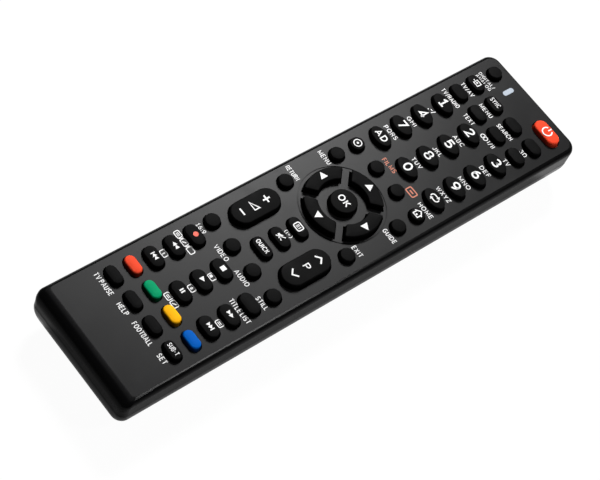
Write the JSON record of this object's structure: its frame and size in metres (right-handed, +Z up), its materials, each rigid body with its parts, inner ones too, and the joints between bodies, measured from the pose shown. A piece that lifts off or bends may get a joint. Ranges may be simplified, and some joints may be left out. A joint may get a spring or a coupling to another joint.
{
  "type": "universal remote control",
  "caption": "Slim handheld television remote with a flat key face, rubber digit, direction, playback, rocker and colour keys and a hinged battery door on the back.",
  "frame": {"origin": "middle of the flat back that the remote rests on", "axes": "+Z up through the key face, +Y towards the infrared end, +X right with that end up"},
  "size_m": [0.0496, 0.207, 0.0222],
  "materials": {
    "face_plastic": "satin moulded face, polished edges",
    "shell_plastic": "polished black",
    "board": "solder mask",
    "component": "moulded",
    "mat_rubber": "matt silicone",
    "diode_resin": "clear tinted resin",
    "window_resin": "milky translucent resin",
    "cell_jacket": "printed film jacket, plain",
    "contact_metal": "bright nickel plate",
    "screw_metal": "zinc plate",
    "key_rubber": "smooth silicone with a clear coat",
    "red_rubber": "smooth silicone with a clear coat",
    "green_rubber": "smooth silicone with a clear coat",
    "yellow_rubber": "smooth silicone with a clear coat",
    "blue_rubber": "smooth silicone with a clear coat"
  },
  "bodies": {
    "case": {"upper_case": "face_plastic", "lower_case": "shell_plastic", "circuit_board": "board", "board_components": "component", "key_mat": "mat_rubber", "infrared_diode": "diode_resin", "indicator_window": "window_resin", "batteries": "cell_jacket", "battery_contacts": "contact_metal", "case_screws": "screw_metal"},
    "battery_door": {"battery_door": "shell_plastic"},
    "key_mode": {"key_mode": "key_rubber"},
    "key_power": {"key_power": "red_rubber"},
    "keys_upper_1_left": {"keys_upper_1_left": "key_rubber"},
    "keys_upper_1_right": {"keys_upper_1_right": "key_rubber"},
    "keys_upper_2_left": {"keys_upper_2_left": "key_rubber"},
    "keys_upper_2_right": {"keys_upper_2_right": "key_rubber"},
    "key_1": {"key_1": "key_rubber"},
    "key_2": {"key_2": "key_rubber"},
    "key_3": {"key_3": "key_rubber"},
    "key_4": {"key_4": "key_rubber"},
    "key_5": {"key_5": "key_rubber"},
    "key_6": {"key_6": "key_rubber"},
    "key_7": {"key_7": "key_rubber"},
    "key_8": {"key_8": "key_rubber"},
    "key_9": {"key_9": "key_rubber"},
    "key_description": {"key_description": "key_rubber"},
    "key_0": {"key_0": "key_rubber"},
    "key_recall": {"key_recall": "key_rubber"},
    "keys_apps_left": {"keys_apps_left": "key_rubber"},
    "keys_apps_right": {"keys_apps_right": "key_rubber"},
    "keys_menu_guide": {"keys_menu_guide": "key_rubber"},
    "keys_return_exit": {"keys_return_exit": "key_rubber"},
    "key_ok": {"key_ok": "key_rubber"},
    "key_right": {"key_right": "key_rubber"},
    "key_up": {"key_up": "key_rubber"},
    "key_left": {"key_left": "key_rubber"},
    "key_down": {"key_down": "key_rubber"},
    "key_guide": {"key_guide": "key_rubber"},
    "key_mute": {"key_mute": "key_rubber"},
    "key_quick": {"key_quick": "key_rubber"},
    "key_volume": {"key_volume": "key_rubber"},
    "key_program": {"key_program": "key_rubber"},
    "keys_format_left": {"keys_format_left": "key_rubber"},
    "keys_format_right": {"keys_format_right": "key_rubber"},
    "key_record": {"key_record": "key_rubber"},
    "key_stop": {"key_stop": "key_rubber"},
    "key_list": {"key_list": "key_rubber"},
    "key_rewind": {"key_rewind": "key_rubber"},
    "key_play": {"key_play": "key_rubber"},
    "key_forward": {"key_forward": "key_rubber"},
    "key_previous": {"key_previous": "key_rubber"},
    "key_pause": {"key_pause": "key_rubber"},
    "key_next": {"key_next": "key_rubber"},
    "key_red": {"key_red": "red_rubber"},
    "key_green": {"key_green": "green_rubber"},
    "key_yellow": {"key_yellow": "yellow_rubber"},
    "key_blue": {"key_blue": "blue_rubber"},
    "keys_last_left": {"keys_last_left": "key_rubber"},
    "keys_last_right": {"keys_last_right": "key_rubber"}
  },
  "joints": [
    {"name": "battery_door_hinge", "type": "hinge", "parent": "case", "child": "battery_door", "pos_m": [0, -0.0843, 0.0009], "axis": [-1, 0, 0], "range_deg": [0, 75]},
    {"name": "key_mode_press", "type": "slide", "parent": "case", "child": "key_mode", "axis": [0, 0, -1], "range_m": [0, 0.001], "stiffness_N_per_m": 800, "springref_m": -0.0003},
    {"name": "key_power_press", "type": "slide", "parent": "case", "child": "key_power", "axis": [0, 0, -1], "range_m": [0, 0.001], "stiffness_N_per_m": 800, "springref_m": -0.0003},
    {"name": "keys_upper_1_left_press", "type": "slide", "parent": "case", "child": "keys_upper_1_left", "axis": [0, 0, -1], "range_m": [0, 0.001], "stiffness_N_per_m": 800, "springref_m": -0.0003},
    {"name": "keys_upper_1_right_press", "type": "slide", "parent": "case", "child": "keys_upper_1_right", "axis": [0, 0, -1], "range_m": [0, 0.001], "stiffness_N_per_m": 800, "springref_m": -0.0003},
    {"name": "keys_upper_2_left_press", "type": "slide", "parent": "case", "child": "keys_upper_2_left", "axis": [0, 0, -1], "range_m": [0, 0.001], "stiffness_N_per_m": 800, "springref_m": -0.0003},
    {"name": "keys_upper_2_right_press", "type": "slide", "parent": "case", "child": "keys_upper_2_right", "axis": [0, 0, -1], "range_m": [0, 0.001], "stiffness_N_per_m": 800, "springref_m": -0.0003},
    {"name": "key_1_press", "type": "slide", "parent": "case", "child": "key_1", "axis": [0, 0, -1], "range_m": [0, 0.001], "stiffness_N_per_m": 800, "springref_m": -0.0003},
    {"name": "key_2_press", "type": "slide", "parent": "case", "child": "key_2", "axis": [0, 0, -1], "range_m": [0, 0.001], "stiffness_N_per_m": 800, "springref_m": -0.0003},
    {"name": "key_3_press", "type": "slide", "parent": "case", "child": "key_3", "axis": [0, 0, -1], "range_m": [0, 0.001], "stiffness_N_per_m": 800, "springref_m": -0.0003},
    {"name": "key_4_press", "type": "slide", "parent": "case", "child": "key_4", "axis": [0, 0, -1], "range_m": [0, 0.001], "stiffness_N_per_m": 800, "springref_m": -0.0003},
    {"name": "key_5_press", "type": "slide", "parent": "case", "child": "key_5", "axis": [0, 0, -1], "range_m": [0, 0.001], "stiffness_N_per_m": 800, "springref_m": -0.0003},
    {"name": "key_6_press", "type": "slide", "parent": "case", "child": "key_6", "axis": [0, 0, -1], "range_m": [0, 0.001], "stiffness_N_per_m": 800, "springref_m": -0.0003},
    {"name": "key_7_press", "type": "slide", "parent": "case", "child": "key_7", "axis": [0, 0, -1], "range_m": [0, 0.001], "stiffness_N_per_m": 800, "springref_m": -0.0003},
    {"name": "key_8_press", "type": "slide", "parent": "case", "child": "key_8", "axis": [0, 0, -1], "range_m": [0, 0.001], "stiffness_N_per_m": 800, "springref_m": -0.0003},
    {"name": "key_9_press", "type": "slide", "parent": "case", "child": "key_9", "axis": [0, 0, -1], "range_m": [0, 0.001], "stiffness_N_per_m": 800, "springref_m": -0.0003},
    {"name": "key_description_press", "type": "slide", "parent": "case", "child": "key_description", "axis": [0, 0, -1], "range_m": [0, 0.001], "stiffness_N_per_m": 800, "springref_m": -0.0003},
    {"name": "key_0_press", "type": "slide", "parent": "case", "child": "key_0", "axis": [0, 0, -1], "range_m": [0, 0.001], "stiffness_N_per_m": 800, "springref_m": -0.0003},
    {"name": "key_recall_press", "type": "slide", "parent": "case", "child": "key_recall", "axis": [0, 0, -1], "range_m": [0, 0.001], "stiffness_N_per_m": 800, "springref_m": -0.0003},
    {"name": "keys_apps_left_press", "type": "slide", "parent": "case", "child": "keys_apps_left", "axis": [0, 0, -1], "range_m": [0, 0.001], "stiffness_N_per_m": 800, "springref_m": -0.0003},
    {"name": "keys_apps_right_press", "type": "slide", "parent": "case", "child": "keys_apps_right", "axis": [0, 0, -1], "range_m": [0, 0.001], "stiffness_N_per_m": 800, "springref_m": -0.0003},
    {"name": "keys_menu_guide_press", "type": "slide", "parent": "case", "child": "keys_menu_guide", "axis": [0, 0, -1], "range_m": [0, 0.001], "stiffness_N_per_m": 800, "springref_m": -0.0003},
    {"name": "keys_return_exit_press", "type": "slide", "parent": "case", "child": "keys_return_exit", "axis": [0, 0, -1], "range_m": [0, 0.001], "stiffness_N_per_m": 800, "springref_m": -0.0003},
    {"name": "key_ok_press", "type": "slide", "parent": "case", "child": "key_ok", "axis": [0, 0, -1], "range_m": [0, 0.001], "stiffness_N_per_m": 800, "springref_m": -0.0003},
    {"name": "key_right_press", "type": "slide", "parent": "case", "child": "key_right", "axis": [0, 0, -1], "range_m": [0, 0.001], "stiffness_N_per_m": 800, "springref_m": -0.0003},
    {"name": "key_up_press", "type": "slide", "parent": "case", "child": "key_up", "axis": [0, 0, -1], "range_m": [0, 0.001], "stiffness_N_per_m": 800, "springref_m": -0.0003},
    {"name": "key_left_press", "type": "slide", "parent": "case", "child": "key_left", "axis": [0, 0, -1], "range_m": [0, 0.001], "stiffness_N_per_m": 800, "springref_m": -0.0003},
    {"name": "key_down_press", "type": "slide", "parent": "case", "child": "key_down", "axis": [0, 0, -1], "range_m": [0, 0.001], "stiffness_N_per_m": 800, "springref_m": -0.0003},
    {"name": "key_guide_press", "type": "slide", "parent": "case", "child": "key_guide", "axis": [0, 0, -1], "range_m": [0, 0.001], "stiffness_N_per_m": 800, "springref_m": -0.0003},
    {"name": "key_mute_press", "type": "slide", "parent": "case", "child": "key_mute", "axis": [0, 0, -1], "range_m": [0, 0.001], "stiffness_N_per_m": 800, "springref_m": -0.0003},
    {"name": "key_quick_press", "type": "slide", "parent": "case", "child": "key_quick", "axis": [0, 0, -1], "range_m": [0, 0.001], "stiffness_N_per_m": 800, "springref_m": -0.0003},
    {"name": "key_volume_rock", "type": "hinge", "parent": "case", "child": "key_volume", "pos_m": [-0.01395, -0.0207, 0.01605], "axis": [1, 0, 0], "range_deg": [-3, 3], "stiffness_Nm_per_rad": 0.2},
    {"name": "key_program_rock", "type": "hinge", "parent": "case", "child": "key_program", "pos_m": [0.01395, -0.0207, 0.01605], "axis": [1, 0, 0], "range_deg": [-3, 3], "stiffness_Nm_per_rad": 0.2},
    {"name": "keys_format_left_press", "type": "slide", "parent": "case", "child": "keys_format_left", "axis": [0, 0, -1], "range_m": [0, 0.001], "stiffness_N_per_m": 800, "springref_m": -0.0003},
    {"name": "keys_format_right_press", "type": "slide", "parent": "case", "child": "keys_format_right", "axis": [0, 0, -1], "range_m": [0, 0.001], "stiffness_N_per_m": 800, "springref_m": -0.0003},
    {"name": "key_record_press", "type": "slide", "parent": "case", "child": "key_record", "axis": [0, 0, -1], "range_m": [0, 0.001], "stiffness_N_per_m": 800, "springref_m": -0.0003},
    {"name": "key_stop_press", "type": "slide", "parent": "case", "child": "key_stop", "axis": [0, 0, -1], "range_m": [0, 0.001], "stiffness_N_per_m": 800, "springref_m": -0.0003},
    {"name": "key_list_press", "type": "slide", "parent": "case", "child": "key_list", "axis": [0, 0, -1], "range_m": [0, 0.001], "stiffness_N_per_m": 800, "springref_m": -0.0003},
    {"name": "key_rewind_press", "type": "slide", "parent": "case", "child": "key_rewind", "axis": [0, 0, -1], "range_m": [0, 0.001], "stiffness_N_per_m": 800, "springref_m": -0.0003},
    {"name": "key_play_press", "type": "slide", "parent": "case", "child": "key_play", "axis": [0, 0, -1], "range_m": [0, 0.001], "stiffness_N_per_m": 800, "springref_m": -0.0003},
    {"name": "key_forward_press", "type": "slide", "parent": "case", "child": "key_forward", "axis": [0, 0, -1], "range_m": [0, 0.001], "stiffness_N_per_m": 800, "springref_m": -0.0003},
    {"name": "key_previous_press", "type": "slide", "parent": "case", "child": "key_previous", "axis": [0, 0, -1], "range_m": [0, 0.001], "stiffness_N_per_m": 800, "springref_m": -0.0003},
    {"name": "key_pause_press", "type": "slide", "parent": "case", "child": "key_pause", "axis": [0, 0, -1], "range_m": [0, 0.001], "stiffness_N_per_m": 800, "springref_m": -0.0003},
    {"name": "key_next_press", "type": "slide", "parent": "case", "child": "key_next", "axis": [0, 0, -1], "range_m": [0, 0.001], "stiffness_N_per_m": 800, "springref_m": -0.0003},
    {"name": "key_red_press", "type": "slide", "parent": "case", "child": "key_red", "axis": [0, 0, -1], "range_m": [0, 0.001], "stiffness_N_per_m": 800, "springref_m": -0.0003},
    {"name": "key_green_press", "type": "slide", "parent": "case", "child": "key_green", "axis": [0, 0, -1], "range_m": [0, 0.001], "stiffness_N_per_m": 800, "springref_m": -0.0003},
    {"name": "key_yellow_press", "type": "slide", "parent": "case", "child": "key_yellow", "axis": [0, 0, -1], "range_m": [0, 0.001], "stiffness_N_per_m": 800, "springref_m": -0.0003},
    {"name": "key_blue_press", "type": "slide", "parent": "case", "child": "key_blue", "axis": [0, 0, -1], "range_m": [0, 0.001], "stiffness_N_per_m": 800, "springref_m": -0.0003},
    {"name": "keys_last_left_press", "type": "slide", "parent": "case", "child": "keys_last_left", "axis": [0, 0, -1], "range_m": [0, 0.001], "stiffness_N_per_m": 800, "springref_m": -0.0003},
    {"name": "keys_last_right_press", "type": "slide", "parent": "case", "child": "keys_last_right", "axis": [0, 0, -1], "range_m": [0, 0.001], "stiffness_N_per_m": 800, "springref_m": -0.0003}
  ]
}
